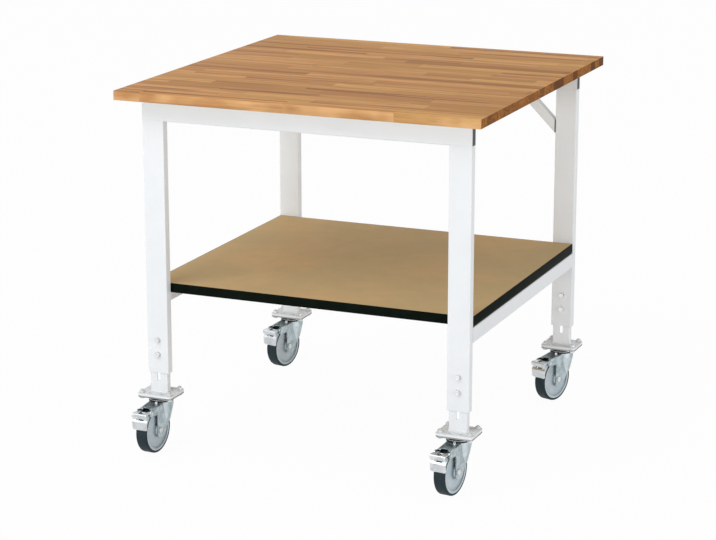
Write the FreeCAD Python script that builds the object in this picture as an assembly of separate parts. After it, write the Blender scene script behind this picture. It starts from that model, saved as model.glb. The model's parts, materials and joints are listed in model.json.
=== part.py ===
import FreeCAD, Part

import math
import os

# A mobile assembly table: a glued beech worktop on two welded tube portals, tied together by two
# low side rails that carry a shelf. Each leg is a tube with a slotted inner leg that slides in it
# and is clamped by two bolts, and each inner leg stands on a swivel castor with a brake pedal.
#
# Units are millimetres. The origin lies on the floor under the middle of the worktop, +X runs to the
# right along the wood's grain, -Y is the front and +Z is up. The castor's own sizes are given in
# the castor's frame: x along the axle, y forward of the swivel axis and z up from the floor.

# Worktop
worktop_length = 1000.0
worktop_depth = 1000.0
worktop_thickness = 25.0
worktop_edge_round = 1.5
table_height = 975.0
side_overhang = 46.5
front_overhang = 66.5

# Portal tube, used for the top rails and the outer legs
portal_tube_width = 60.0
portal_tube_depth = 25.0
portal_tube_wall = 2.0
portal_tube_corner = 3.0
leg_cope_height = 2.0
end_cap_depth = 15.0

# Low side rails and the shelf on them
side_rail_height = 40.0
side_rail_depth = 25.0
side_rail_wall = 2.0
side_rail_corner = 3.0
side_rail_underside = 385.0
shelf_strip_thickness = 3.0
shelf_thickness = 25.0
shelf_edging = 2.0
shelf_side_inset = 1.5
shelf_end_gap = 0.5

# Braces in the rear portal
brace_tube_width = 25.0
brace_tube_wall = 2.0
brace_tube_corner = 2.5
brace_drop = 105.0
brace_cap_thickness = 2.5

# Screws that hold the worktop on the rails
screw_count = 4
screw_end_distance = 113.5
screw_diameter = 6.0
screw_length = 20.0
screw_head_diameter = 12.0
screw_head_height = 3.0
screw_hole_clearance = 0.5
screw_access_diameter = 16.0

# Inner legs, which slide in the outer legs
inner_leg_width = 50.0
inner_leg_wall = 2.5
inner_leg_corner = 3.0
inner_leg_slack = 0.5
inner_leg_length = 284.0
inner_leg_showing = 54.0
leg_slot_width = 9.0
leg_slot_foot_margin = 31.0
leg_slot_top_margin = 30.0

# Clamping bolts of the leg heights
height_bolt_diameter = 8.0
height_bolt_length = 18.0
height_bolt_head_width = 13.0
height_bolt_head_height = 5.3
height_bolt_pitch = 40.0
height_bolt_end_distance = 50.0
height_washer_diameter = 18.0
height_washer_thickness = 1.6
height_hole_clearance = 1.0
clamp_plate_width = 38.0
clamp_plate_height = 70.0
clamp_plate_thickness = 6.0
clamp_plate_slack = 0.3

# Foot plates and the castor plates under them
plate_length = 100.0
plate_width = 85.0
plate_corner = 10.0
foot_plate_thickness = 6.0
foot_slot_length = 13.0
foot_slot_width = 5.0
foot_slot_spacing_x = 32.0
foot_slot_spacing_y = 56.0
castor_plate_thickness = 4.0
castor_hole_spacing_x = 80.0
castor_hole_spacing_y = 60.0
castor_hole_width = 9.0
castor_slot_length = 12.0
castor_bolt_diameter = 8.0
castor_bolt_head_width = 13.0
castor_bolt_head_height = 5.3
castor_nut_height = 6.5
castor_bolt_end = 3.0

# Swivel bearing, from the castor plate down to the fork
race_neck_radius = 24.0
race_neck_height = 3.0
race_radius = 33.0
race_height = 4.0
race_edge_round = 1.2
fork_race_radius = 26.0
fork_race_height = 5.7
swivel_gap = 0.3
kingpin_radius = 8.0
kingpin_head_radius = 12.0
kingpin_head_height = 5.0
kingpin_head_gap = 0.5
running_clearance = 0.05

# Fork with its brake hood
castor_trail = 44.0
tyre_headroom = 4.5
fork_inner_width = 38.0
fork_sheet = 3.0
crown_sheet = 3.5
crown_radius = 33.0
crown_straight_height = 12.0
crown_taper_height = 50.0
crown_front_reach = 24.0
crown_front_height = 21.0
fork_leg_tip_radius = 18.0
fork_leg_tip_offset = 8.0
fork_leg_tip_drop = 2.5
hood_sheet = 2.5
hood_drop = 6.0
hood_plate_reach = 78.0
hood_notch_width = 20.0
hood_notch_depth = 9.0
hood_notch_round = 4.0
hood_skirt_height = 24.0
hood_edge_round = 5.0
hood_ear_radius = 9.0

# Axle
axle_diameter = 10.0
axle_head_width = 16.0
axle_head_height = 4.0
axle_nut_height = 6.0
axle_end = 2.0
sleeve_diameter = 15.0

# Wheel
wheel_diameter = 125.0
tyre_width = 32.0
tyre_side_depth = 6.2
tyre_root_depth = 2.3
tyre_shoulder_round = 4.0
rim_side_inset = 0.5
rim_flange_width = 2.0
rim_thickness = 4.0
wheel_disc_thickness = 21.0
wheel_disc_round = 3.0
hub_radius = 14.0
hub_side_gap = 0.5

# Brake pedal, its hinge pin and the lock rivet on the hood
pedal_hinge_reach = 84.0
pedal_pin_diameter = 5.0
pedal_pin_head_diameter = 9.0
pedal_pin_head_height = 1.5
pedal_ear_radius = 5.0
pedal_arm_reach = 4.0
pedal_side_gap = 0.5
pedal_swing_gap = 1.0
pedal_sheet = 2.0
pedal_bend_radius = 1.5
pedal_plate_rise = 4.0
pedal_nose_rise = 1.0
pedal_nose_reach = 30.0
pedal_nose_height = 7.0
pedal_notch_depth = 7.0
pedal_notch_height = 7.5
pedal_apron_reach = 4.5
pedal_apron_height = 20.0
pedal_apron_lean = 2.0
pedal_foot_return = 2.5
pedal_foot_corner = 8.0
pedal_slot_length = 22.0
pedal_slot_height = 2.5
pedal_window_width = 22.0
pedal_window_tip = 9.0
pedal_window_round = 2.5
lock_rivet_diameter = 7.0
lock_rivet_height = 8.0
lock_rivet_side = 8.0
lock_rivet_gap = 2.0

# How each castor is turned about its swivel axis, in degrees
front_left_heading = -3.6
front_right_heading = -7.6
rear_left_heading = -11.7
rear_right_heading = -18.0

# Frame sizes that follow from the values above
rail_half_length = worktop_length / 2 - side_overhang
portal_outer_y = worktop_depth / 2 - front_overhang
portal_centre_y = portal_outer_y - portal_tube_depth / 2
rail_top = table_height - worktop_thickness
rail_underside = rail_top - portal_tube_width
leg_centre_x = rail_half_length - portal_tube_width / 2
leg_inner_face = rail_half_length - portal_tube_width
leg_facing_y = portal_outer_y - portal_tube_depth

# Castor sizes that follow from the values above
wheel_radius = wheel_diameter / 2
crown_underside = wheel_diameter + tyre_headroom
crown_top = crown_underside + crown_sheet
race_underside = crown_top + fork_race_height + swivel_gap
castor_plate_underside = race_underside + race_height + race_neck_height
castor_height = castor_plate_underside + castor_plate_thickness
fork_half_width = fork_inner_width / 2 + fork_sheet
hood_tail_top = crown_top - hood_drop
hinge_z = hood_tail_top - hood_ear_radius
beyond_wheel = castor_trail + wheel_diameter

# Heights of the legs, which stand on the castors
foot_plate_top = castor_height + foot_plate_thickness
leg_underside = foot_plate_top + inner_leg_showing
lower_bolt_z = leg_underside + height_bolt_end_distance
upper_bolt_z = lower_bolt_z + height_bolt_pitch
inner_leg_depth = portal_tube_depth - 2 * portal_tube_wall - 2 * inner_leg_slack

# Corners of the table: side of the table along X, side along Y and the castor's heading
corners = {
    "front_left": (-1, -1, front_left_heading),
    "front_right": (1, -1, front_right_heading),
    "rear_left": (-1, 1, rear_left_heading),
    "rear_right": (1, 1, rear_right_heading),
}

X_AXIS = FreeCAD.Vector(1, 0, 0)
Y_AXIS = FreeCAD.Vector(0, 1, 0)
Z_AXIS = FreeCAD.Vector(0, 0, 1)


def vector(x, y, z):
    return FreeCAD.Vector(x, y, z)


def save(name, *solids):
    """Writes one node, as a single solid or as a group of separate solids."""
    shape = solids[0] if len(solids) == 1 else Part.makeCompound(list(solids))
    shape.exportStep("parts/" + name + ".step")


def single(shape):
    """The one solid that a boolean operation leaves."""
    return shape.removeSplitter().Solids[0]


def box(x_low, x_high, y_low, y_high, z_low, z_high):
    corner = vector(x_low, y_low, z_low)
    return Part.makeBox(x_high - x_low, y_high - y_low, z_high - z_low, corner)


def cylinder(radius, length, start, direction):
    return Part.makeCylinder(radius, length, start, direction)


def rounded_face(points, radii):
    """A flat face through corner points, each corner rounded by its own radius."""
    count = len(points)
    arc_ends = []
    for index in range(count):
        corner = points[index]
        before = (points[index - 1] - corner).normalize()
        after = (points[(index + 1) % count] - corner).normalize()
        half_angle = before.getAngle(after) / 2
        radius = radii[index]
        setback = radius / math.tan(half_angle)
        middle = corner
        if radius > 0:
            inward = (before + after).normalize()
            middle = corner + inward * (radius / math.sin(half_angle) - radius)
        arc_ends.append((corner + before * setback, middle, corner + after * setback))
    edges = []
    for index in range(count):
        start, middle, end = arc_ends[index]
        previous_end = arc_ends[index - 1][2]
        if previous_end.distanceToPoint(start) > 1e-6:
            edges.append(Part.LineSegment(previous_end, start).toShape())
        if radii[index] > 0:
            edges.append(Part.Arc(start, middle, end).toShape())
    return Part.Face(Part.Wire(edges))


def rounded_bar(width, height, radius, start, across, up, length):
    """A bar with rounded long edges; it runs from its middle at start, square to across and up."""
    half_across = across * (width / 2)
    half_up = up * (height / 2)
    points = [
        start - half_across - half_up,
        start + half_across - half_up,
        start + half_across + half_up,
        start - half_across + half_up,
    ]
    return rounded_face(points, [radius] * 4).extrude(across.cross(up) * length)


def rounded_tube(width, height, wall, radius, start, across, up, length):
    """A rectangular tube with rounded corners and an even wall."""
    outside = rounded_bar(width, height, radius, start, across, up, length)
    inner_radius = max(radius - wall, 0)
    inside = rounded_bar(
        width - 2 * wall, height - 2 * wall, inner_radius, start, across, up, length
    )
    return single(outside.cut(inside))


def hexagon(across_flats, height, start, direction):
    """A hexagonal prism for a bolt head or a nut."""
    side = Y_AXIS if abs(direction.z) > 0.5 else Z_AXIS
    other = direction.cross(side)
    radius = across_flats / math.sqrt(3)
    points = []
    for index in range(6):
        angle = math.radians(60 * index)
        points.append(start + side * (radius * math.cos(angle)) + other * (radius * math.sin(angle)))
    return rounded_face(points, [0] * 6).extrude(direction * height)


def slotted_hole(length, width, centre, along, across, depth):
    """A slot with round ends, cut from its centre square to its two directions."""
    half_run = along * ((length - width) / 2)
    radius = width / 2
    corner = half_run + across * radius
    other = half_run - across * radius
    sides = [centre - corner, centre + other, centre + corner, centre - other]
    edges = [
        Part.LineSegment(sides[0], sides[1]).toShape(),
        Part.Arc(sides[1], centre + half_run + along * radius, sides[2]).toShape(),
        Part.LineSegment(sides[2], sides[3]).toShape(),
        Part.Arc(sides[3], centre - half_run - along * radius, sides[0]).toShape(),
    ]
    return Part.Face(Part.Wire(edges)).extrude(along.cross(across) * depth)


def rectangle_places(spacing_x, spacing_y):
    """The four corners of a hole pattern about its centre."""
    places = []
    for side_x in (-1, 1):
        for side_y in (-1, 1):
            places.append((side_x * spacing_x / 2, side_y * spacing_y / 2))
    return places


# ---------------------------------------------------------------- worktop and its screws


def worktop_screw_places():
    """Screw positions along each top rail, evenly spaced."""
    reach = rail_half_length - screw_end_distance
    pitch = 2 * reach / (screw_count - 1)
    places = []
    for side_y in (-1, 1):
        for index in range(screw_count):
            places.append(vector(-reach + index * pitch, side_y * portal_centre_y, 0))
    return places


def make_worktop():
    half_length = worktop_length / 2
    half_depth = worktop_depth / 2
    board = box(-half_length, half_length, -half_depth, half_depth, rail_top, table_height)
    board = board.makeFillet(worktop_edge_round, board.Edges)
    pilot_depth = screw_length - portal_tube_wall
    for place in worktop_screw_places():
        start = place + Z_AXIS * rail_top
        board = board.cut(cylinder(screw_diameter / 2, pilot_depth, start, Z_AXIS))
    return single(board)


def make_worktop_screw(place):
    seat = rail_top - portal_tube_wall
    shank = cylinder(screw_diameter / 2, screw_length, place + Z_AXIS * seat, Z_AXIS)
    head_start = place + Z_AXIS * (seat - screw_head_height)
    head = cylinder(screw_head_diameter / 2, screw_head_height, head_start, Z_AXIS)
    return single(shank.fuse(head))


# ---------------------------------------------------------------- portals


def top_rail_start(side_y):
    """The middle of a top rail's left end."""
    middle_z = rail_top - portal_tube_width / 2
    return vector(-rail_half_length, side_y * portal_centre_y, middle_z)


def top_rail_outside(side_y):
    """The outside of a top rail as a solid bar."""
    return rounded_bar(
        portal_tube_depth,
        portal_tube_width,
        portal_tube_corner,
        top_rail_start(side_y),
        Y_AXIS,
        Z_AXIS,
        2 * rail_half_length,
    )


def make_top_rail(side_y):
    rail = rounded_tube(
        portal_tube_depth,
        portal_tube_width,
        portal_tube_wall,
        portal_tube_corner,
        top_rail_start(side_y),
        Y_AXIS,
        Z_AXIS,
        2 * rail_half_length,
    )
    clearance_radius = (screw_diameter + screw_hole_clearance) / 2
    for place in worktop_screw_places():
        if place.y * side_y > 0:
            low = place + Z_AXIS * rail_underside
            middle = low + Z_AXIS * (portal_tube_width / 2)
            rail = rail.cut(cylinder(screw_access_diameter / 2, portal_tube_width / 2, low, Z_AXIS))
            rail = rail.cut(cylinder(clearance_radius, portal_tube_width, middle, Z_AXIS))
    return single(rail)


def make_rail_end_cap(side_x, side_y):
    """A plastic plug that fills the open end of a top rail flush."""
    outer_x = side_x * rail_half_length
    inner_x = side_x * (rail_half_length - end_cap_depth)
    middle_z = rail_top - portal_tube_width / 2
    return rounded_bar(
        portal_tube_depth - 2 * portal_tube_wall,
        portal_tube_width - 2 * portal_tube_wall,
        portal_tube_corner - portal_tube_wall,
        vector(min(outer_x, inner_x), side_y * portal_centre_y, middle_z),
        Y_AXIS,
        Z_AXIS,
        end_cap_depth,
    )


def make_outer_leg(side_x, side_y):
    """A leg whose top is coped to the rounded edges of the top rail, where it is welded on."""
    centre_x = side_x * leg_centre_x
    centre_y = side_y * portal_centre_y
    leg = rounded_tube(
        portal_tube_width,
        portal_tube_depth,
        portal_tube_wall,
        portal_tube_corner,
        vector(centre_x, centre_y, leg_underside),
        X_AXIS,
        Y_AXIS,
        rail_underside + leg_cope_height - leg_underside,
    )
    leg = leg.cut(top_rail_outside(side_y))
    hole_radius = (height_bolt_diameter + height_hole_clearance) / 2
    for bolt_z in (lower_bolt_z, upper_bolt_z):
        face = vector(centre_x, centre_y - portal_tube_depth / 2, bolt_z)
        leg = leg.cut(cylinder(hole_radius, portal_tube_depth / 2, face, Y_AXIS))
    return single(leg)


def make_brace(side_x):
    """A square tube at 45 degrees from the leg up to the rail, cut to lie against both."""
    across = vector(math.sqrt(0.5), 0, side_x * math.sqrt(0.5))
    direction = across.cross(Y_AXIS)
    cap_face = leg_inner_face - brace_cap_thickness
    foot = vector(side_x * cap_face, portal_centre_y, rail_underside - brace_drop)
    start = foot - direction * brace_drop
    length = 4 * brace_drop
    outside = rounded_bar(
        brace_tube_width, brace_tube_width, brace_tube_corner, start, across, Y_AXIS, length
    )
    bore_width = brace_tube_width - 2 * brace_tube_wall
    inside = rounded_bar(
        bore_width, bore_width, brace_tube_corner - brace_tube_wall, start, across, Y_AXIS, length
    )
    keep = box(0, cap_face, 0, portal_outer_y * 2, leg_underside, rail_underside)
    if side_x < 0:
        keep = keep.mirror(vector(0, 0, 0), X_AXIS)
    return single(outside.cut(inside).common(keep))


def make_brace_cap(side_x):
    """A plastic cap between the brace's mitred foot and the leg."""
    half_height = brace_tube_width * math.sqrt(0.5)
    middle_z = rail_underside - brace_drop
    inner_x = side_x * (leg_inner_face - brace_cap_thickness)
    outer_x = side_x * leg_inner_face
    half_depth = brace_tube_width / 2
    return box(
        min(inner_x, outer_x),
        max(inner_x, outer_x),
        portal_centre_y - half_depth,
        portal_centre_y + half_depth,
        middle_z - half_height,
        middle_z + half_height,
    )


# ---------------------------------------------------------------- side rails and shelf


def side_rail_centre_x(side_x):
    return side_x * (rail_half_length - side_rail_depth / 2)


def make_side_rail(side_x):
    middle_z = side_rail_underside + side_rail_height / 2
    return rounded_tube(
        side_rail_height,
        side_rail_depth,
        side_rail_wall,
        side_rail_corner,
        vector(side_rail_centre_x(side_x), -leg_facing_y, middle_z),
        Z_AXIS,
        X_AXIS,
        2 * leg_facing_y,
    )


strip_underside = side_rail_underside + side_rail_height
shelf_underside = strip_underside + shelf_strip_thickness
shelf_half_length = rail_half_length - shelf_side_inset
shelf_half_depth = leg_facing_y - shelf_end_gap


def make_shelf_strip(side_x):
    """A rubber strip that the shelf lies on, as wide as the flat top of the side rail."""
    centre_x = side_rail_centre_x(side_x)
    half_width = side_rail_depth / 2 - side_rail_corner
    return box(
        centre_x - half_width,
        centre_x + half_width,
        -shelf_half_depth,
        shelf_half_depth,
        strip_underside,
        shelf_underside,
    )


def make_shelf_blank(inset):
    half_length = shelf_half_length - inset
    half_depth = shelf_half_depth - inset
    shelf_top = shelf_underside + shelf_thickness
    return box(-half_length, half_length, -half_depth, half_depth, shelf_underside, shelf_top)


def make_shelf_edging():
    return make_shelf_blank(0).cut(make_shelf_blank(shelf_edging))


# ---------------------------------------------------------------- inner legs and their clamps


def leg_front_face(side_y):
    """The Y of the leg face that carries the bolt heads; it is the front face on every leg."""
    return side_y * portal_centre_y - portal_tube_depth / 2


def make_inner_leg(side_x, side_y):
    """A channel that is open to the rear, with a long slot in its web for the bolts."""
    centre_x = side_x * leg_centre_x
    web_face = leg_front_face(side_y) + portal_tube_wall + inner_leg_slack
    channel = rounded_bar(
        inner_leg_width,
        inner_leg_depth,
        inner_leg_corner,
        vector(centre_x, web_face + inner_leg_depth / 2, foot_plate_top),
        X_AXIS,
        Y_AXIS,
        inner_leg_length,
    )
    leg_top = foot_plate_top + inner_leg_length
    half_hollow = inner_leg_width / 2 - inner_leg_wall
    hollow = box(
        centre_x - half_hollow,
        centre_x + half_hollow,
        web_face + inner_leg_wall,
        web_face + inner_leg_depth,
        foot_plate_top,
        leg_top,
    )
    slot_low = foot_plate_top + leg_slot_foot_margin
    slot_high = leg_top - leg_slot_top_margin
    slot = slotted_hole(
        slot_high - slot_low,
        leg_slot_width,
        vector(centre_x, web_face, (slot_low + slot_high) / 2),
        Z_AXIS,
        X_AXIS,
        inner_leg_wall,
    )
    return single(channel.cut(hollow).cut(slot))


def make_height_bolt(side_x, side_y, bolt_z):
    seat = vector(side_x * leg_centre_x, leg_front_face(side_y) - height_washer_thickness, bolt_z)
    shank = cylinder(height_bolt_diameter / 2, height_bolt_length, seat, Y_AXIS)
    head_start = seat - Y_AXIS * height_bolt_head_height
    head = hexagon(height_bolt_head_width, height_bolt_head_height, head_start, Y_AXIS)
    return single(shank.fuse(head))


def make_height_washer(side_x, side_y, bolt_z):
    start = vector(side_x * leg_centre_x, leg_front_face(side_y) - height_washer_thickness, bolt_z)
    disc = cylinder(height_washer_diameter / 2, height_washer_thickness, start, Y_AXIS)
    return disc.cut(cylinder(height_bolt_diameter / 2, height_washer_thickness, start, Y_AXIS))


def make_clamp_plate(side_x, side_y):
    """A plate with two threaded holes that pulls the inner leg's web against the outer leg."""
    centre_x = side_x * leg_centre_x
    middle_z = (lower_bolt_z + upper_bolt_z) / 2
    web_back = leg_front_face(side_y) + portal_tube_wall + inner_leg_slack + inner_leg_wall
    face_y = web_back + clamp_plate_slack
    plate = box(
        centre_x - clamp_plate_width / 2,
        centre_x + clamp_plate_width / 2,
        face_y,
        face_y + clamp_plate_thickness,
        middle_z - clamp_plate_height / 2,
        middle_z + clamp_plate_height / 2,
    )
    for bolt_z in (lower_bolt_z, upper_bolt_z):
        start = vector(centre_x, face_y, bolt_z)
        plate = plate.cut(cylinder(height_bolt_diameter / 2, clamp_plate_thickness, start, Y_AXIS))
    return single(plate)


# ---------------------------------------------------------------- foot plate and castor plate


def make_foot_plate():
    """The plate welded under an inner leg, about the castor's swivel axis."""
    plate = rounded_bar(
        plate_length,
        plate_width,
        plate_corner,
        vector(0, 0, castor_height),
        X_AXIS,
        Y_AXIS,
        foot_plate_thickness,
    )
    for x, y in rectangle_places(castor_hole_spacing_x, castor_hole_spacing_y):
        start = vector(x, y, castor_height)
        plate = plate.cut(cylinder(castor_hole_width / 2, foot_plate_thickness, start, Z_AXIS))
    for x, y in rectangle_places(foot_slot_spacing_x, foot_slot_spacing_y):
        start = vector(x, y, castor_height)
        slot = slotted_hole(
            foot_slot_length, foot_slot_width, start, X_AXIS, Y_AXIS, foot_plate_thickness
        )
        plate = plate.cut(slot)
    return single(plate)


def make_castor_plate():
    """The castor's top plate with the upper race pressed under it."""
    plate = rounded_bar(
        plate_length,
        plate_width,
        plate_corner,
        vector(0, 0, castor_plate_underside),
        X_AXIS,
        Y_AXIS,
        castor_plate_thickness,
    )
    for x, y in rectangle_places(castor_hole_spacing_x, castor_hole_spacing_y):
        start = vector(x, y, castor_plate_underside)
        slot = slotted_hole(
            castor_slot_length, castor_hole_width, start, X_AXIS, Y_AXIS, castor_plate_thickness
        )
        plate = plate.cut(slot)
    race_top = race_underside + race_height
    race_profile = rounded_face(
        [
            vector(0, 0, race_underside),
            vector(race_radius, 0, race_underside),
            vector(race_radius, 0, race_top),
            vector(0, 0, race_top),
        ],
        [0, race_edge_round, race_edge_round, 0],
    )
    race = race_profile.revolve(vector(0, 0, 0), Z_AXIS, 360)
    neck = cylinder(race_neck_radius, race_neck_height, vector(0, 0, race_top), Z_AXIS)
    depth = castor_height - race_underside
    kingpin_hole = cylinder(kingpin_radius, depth, vector(0, 0, race_underside), Z_AXIS)
    return single(plate.fuse(race).fuse(neck).cut(kingpin_hole))


def make_kingpin():
    """The rivet that carries the fork; its head lies inside the fork's crown."""
    head_top = crown_underside - kingpin_head_gap
    shank = cylinder(kingpin_radius, castor_height - head_top, vector(0, 0, head_top), Z_AXIS)
    head_start = vector(0, 0, head_top - kingpin_head_height)
    head = cylinder(kingpin_head_radius, kingpin_head_height, head_start, Z_AXIS)
    return single(shank.fuse(head))


def make_castor_bolt(x, y):
    seat = vector(x, y, castor_plate_underside)
    length = castor_plate_thickness + foot_plate_thickness + castor_nut_height + castor_bolt_end
    shank = cylinder(castor_bolt_diameter / 2, length, seat, Z_AXIS)
    head_start = seat - Z_AXIS * castor_bolt_head_height
    head = hexagon(castor_bolt_head_width, castor_bolt_head_height, head_start, Z_AXIS)
    return single(shank.fuse(head))


def make_castor_nut(x, y):
    start = vector(x, y, foot_plate_top)
    nut = hexagon(castor_bolt_head_width, castor_nut_height, start, Z_AXIS)
    return nut.cut(cylinder(castor_bolt_diameter / 2, castor_nut_height, start, Z_AXIS))


# ---------------------------------------------------------------- fork


def hood_line_z(y):
    """Height of the hood's sloping top surface behind the crown."""
    slope = hood_drop / (pedal_hinge_reach - crown_radius)
    return crown_top - slope * (-y - crown_radius)


def crown_envelope(inset, top):
    """The round crown; it narrows to the width of the fork's legs and goes on straight down."""
    straight_z = crown_top - crown_straight_height
    taper_z = straight_z - crown_taper_height
    radius = crown_radius - inset
    low_radius = fork_half_width - inset
    straight = cylinder(radius, top - straight_z, vector(0, 0, straight_z), Z_AXIS)
    cone = Part.makeCone(low_radius, radius, crown_taper_height, vector(0, 0, taper_z), Z_AXIS)
    foot = cylinder(low_radius, taper_z, vector(0, 0, 0), Z_AXIS)
    return straight.fuse(cone).fuse(foot)


def hood_envelope():
    """A bar behind the swivel axis whose sloping top has rounded long edges."""
    along = vector(0, -beyond_wheel, hood_line_z(-beyond_wheel) - hood_line_z(0)).normalize()
    up = X_AXIS.cross(along) * -1
    height = 2 * wheel_diameter
    start = vector(0, 0, hood_line_z(0)) - up * (height / 2)
    bar = rounded_bar(
        2 * fork_half_width, height, hood_edge_round, start, X_AXIS, up, beyond_wheel
    )
    return bar.common(box(-fork_half_width, fork_half_width, -beyond_wheel, 0, 0, crown_top))


def hood_notch():
    """The round-ended notch in the rear edge of the hood's plate, over the pedal's window."""
    half_width = hood_notch_width / 2
    front_y = hood_notch_depth - hood_plate_reach
    low_z = hood_line_z(-hood_plate_reach) - hood_edge_round
    return rounded_face(
        [
            vector(-half_width, -beyond_wheel, low_z),
            vector(-half_width, front_y, low_z),
            vector(half_width, front_y, low_z),
            vector(half_width, -beyond_wheel, low_z),
        ],
        [0, hood_notch_round, hood_notch_round, 0],
    ).extrude(Z_AXIS * (crown_top - low_z))


def make_fork():
    """A pressed fork: crown with the lower race, two legs and the hood over the wheel."""
    axle_y = -castor_trail
    tip_y = axle_y + fork_leg_tip_offset
    tip_z = wheel_radius - fork_leg_tip_drop - fork_leg_tip_radius
    tip_rear = tip_y - fork_leg_tip_radius
    tip_front = tip_y + fork_leg_tip_radius
    skirt_z = crown_top - hood_skirt_height
    hinge_y = -pedal_hinge_reach
    outline = [
        vector(-fork_half_width, crown_radius, crown_top),
        vector(-fork_half_width, crown_radius, crown_top - crown_front_height),
        vector(-fork_half_width, tip_front, tip_z + fork_leg_tip_radius / 2),
        vector(-fork_half_width, tip_front - fork_leg_tip_radius / 2, tip_z),
        vector(-fork_half_width, tip_rear, tip_z),
        vector(-fork_half_width, tip_rear, skirt_z),
        vector(-fork_half_width, hinge_y, hinge_z - hood_ear_radius),
        vector(-fork_half_width, hinge_y, hood_line_z(hinge_y)),
        vector(-fork_half_width, -crown_radius, crown_top),
    ]
    tip_round = fork_leg_tip_radius / 3
    radii = [0, 0, tip_round, tip_round, 2 * tip_round, tip_round, 0, 0, 0]
    wide_outline = []
    for point in outline:
        wide_outline.append(vector(-crown_radius, point.y, point.z))
    sides = rounded_face(outline, radii).extrude(X_AXIS * (2 * fork_half_width))
    wide_sides = rounded_face(wide_outline, radii).extrude(X_AXIS * (2 * crown_radius))
    ear_start = vector(-fork_half_width, hinge_y, hinge_z)
    ears = cylinder(hood_ear_radius, 2 * fork_half_width, ear_start, X_AXIS)
    crown = wide_sides.common(crown_envelope(0, crown_top))
    outside = sides.common(hood_envelope()).fuse(crown).fuse(ears)
    half_inner = fork_inner_width / 2
    underside_rear = hood_line_z(-hood_plate_reach) - hood_sheet
    cavity = rounded_face(
        [
            vector(-half_inner, crown_front_reach, crown_underside),
            vector(-half_inner, -crown_radius, crown_underside),
            vector(-half_inner, -hood_plate_reach, underside_rear),
            vector(-half_inner, -hood_plate_reach, castor_height),
            vector(-half_inner, -beyond_wheel, castor_height),
            vector(-half_inner, -beyond_wheel, 0),
            vector(-half_inner, crown_radius, 0),
            vector(-half_inner, crown_radius, crown_top - crown_front_height),
            vector(-half_inner, crown_front_reach, crown_top - crown_front_height),
        ],
        [0] * 9,
    ).extrude(X_AXIS * fork_inner_width)
    race = cylinder(fork_race_radius, fork_race_height, vector(0, 0, crown_top), Z_AXIS)
    hole_radius = kingpin_radius + running_clearance
    hole_start = vector(0, 0, crown_underside)
    kingpin_hole = cylinder(hole_radius, crown_sheet + fork_race_height, hole_start, Z_AXIS)
    fork = outside.cut(cavity).cut(crown_envelope(fork_sheet, crown_underside)).fuse(race)
    fork = fork.cut(kingpin_hole)
    axle_start = vector(-fork_half_width, axle_y, wheel_radius)
    fork = fork.cut(cylinder(axle_diameter / 2, 2 * fork_half_width, axle_start, X_AXIS))
    pin_start = vector(-fork_half_width, hinge_y, hinge_z)
    fork = fork.cut(cylinder(pedal_pin_diameter / 2, 2 * fork_half_width, pin_start, X_AXIS))
    fork = fork.cut(make_lock_rivet()).cut(hood_notch())
    return single(fork)


# ---------------------------------------------------------------- axle and wheel


def make_axle_bolt():
    start = vector(fork_half_width, -castor_trail, wheel_radius)
    length = 2 * fork_half_width + axle_nut_height + axle_end
    shank = cylinder(axle_diameter / 2, length, start, X_AXIS * -1)
    head = hexagon(axle_head_width, axle_head_height, start, X_AXIS)
    return single(shank.fuse(head))


def make_axle_nut():
    start = vector(-fork_half_width, -castor_trail, wheel_radius)
    nut = hexagon(axle_head_width, axle_nut_height, start, X_AXIS * -1)
    return nut.cut(cylinder(axle_diameter / 2, axle_nut_height, start, X_AXIS * -1))


def make_axle_sleeve():
    """The steel sleeve that the legs clamp and the wheel turns on."""
    start = vector(-fork_inner_width / 2, -castor_trail, wheel_radius)
    sleeve = cylinder(sleeve_diameter / 2, fork_inner_width, start, X_AXIS)
    return sleeve.cut(cylinder(axle_diameter / 2, fork_inner_width, start, X_AXIS))


def wheel_revolve(points, radii):
    """Turns a profile of (distance along the axle, radius) points about the axle."""
    corners_in_space = []
    for x, radius in points:
        corners_in_space.append(vector(x, -castor_trail, wheel_radius + radius))
    axis_point = vector(0, -castor_trail, wheel_radius)
    return rounded_face(corners_in_space, radii).revolve(axis_point, X_AXIS, 360)


rim_half_width = tyre_width / 2 - rim_side_inset
tyre_seat_half_width = rim_half_width - rim_flange_width
rim_flange_radius = wheel_radius - tyre_side_depth
tyre_seat_radius = rim_flange_radius - tyre_root_depth
rim_inner_radius = tyre_seat_radius - rim_thickness


def make_wheel_core():
    """The plastic wheel: hub, disc and rim, with a seat for the tyre between two flanges."""
    bore = sleeve_diameter / 2 + running_clearance
    hub_half_width = fork_inner_width / 2 - hub_side_gap
    disc_half = wheel_disc_thickness / 2
    one_side = [
        (hub_half_width, bore),
        (hub_half_width, hub_radius),
        (disc_half, hub_radius),
        (disc_half, rim_inner_radius),
        (rim_half_width, rim_inner_radius),
        (rim_half_width, rim_flange_radius),
        (tyre_seat_half_width, rim_flange_radius),
        (tyre_seat_half_width, tyre_seat_radius),
    ]
    other_side = []
    for x, radius in reversed(one_side):
        other_side.append((-x, radius))
    inner_round = wheel_disc_round
    radii = [0, 1, 2, inner_round, 1, 0.5, 0, 0]
    return single(wheel_revolve(one_side + other_side, radii + radii[::-1]))


def make_tyre():
    half_width = tyre_width / 2
    one_side = [
        (tyre_seat_half_width, tyre_seat_radius),
        (tyre_seat_half_width, rim_flange_radius),
        (half_width, rim_flange_radius),
        (half_width, wheel_radius),
    ]
    other_side = []
    for x, radius in reversed(one_side):
        other_side.append((-x, radius))
    radii = [0, 0, 0, tyre_shoulder_round]
    return single(wheel_revolve(one_side + other_side, radii + radii[::-1]))


# ---------------------------------------------------------------- brake pedal


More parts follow.
